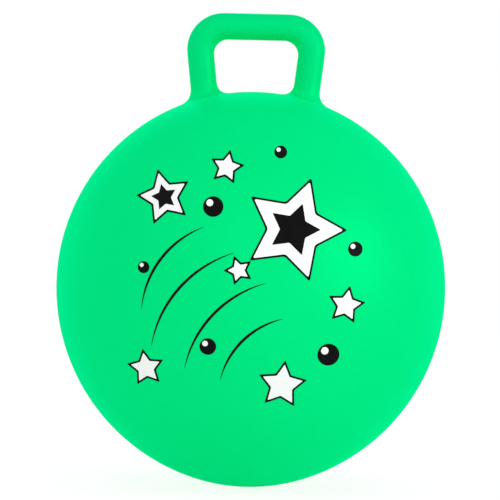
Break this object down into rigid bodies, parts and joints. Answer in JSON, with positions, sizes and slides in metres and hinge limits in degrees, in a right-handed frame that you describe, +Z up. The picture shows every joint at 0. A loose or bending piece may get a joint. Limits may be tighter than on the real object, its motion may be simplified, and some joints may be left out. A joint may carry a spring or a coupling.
{
  "type": "hopper ball",
  "caption": "Round air-filled vinyl hopper ball with a hollow loop handle on top, a star print on the front and a push-in air plug in the back.",
  "frame": {"origin": "middle of the flattened patch under the ball, on the floor", "axes": "+Z up through the handle, -Y towards the printed front, X along the handle's bar"},
  "size_m": [0.45, 0.4499, 0.5466],
  "materials": {
    "vinyl": "satin",
    "plug_plastic": "satin",
    "white_ink": "satin",
    "black_ink": "satin"
  },
  "bodies": {
    "ball": {"ball_skin": "vinyl", "handle_loop": "vinyl", "valve_bush": "vinyl", "print_white": "white_ink", "print_black": "black_ink"},
    "plug": {"valve_plug": "plug_plastic"}
  },
  "joints": [
    {"name": "plug_pull", "type": "slide", "parent": "ball", "child": "plug", "axis": [0, 1, 0], "range_m": [0, 0.026]}
  ]
}
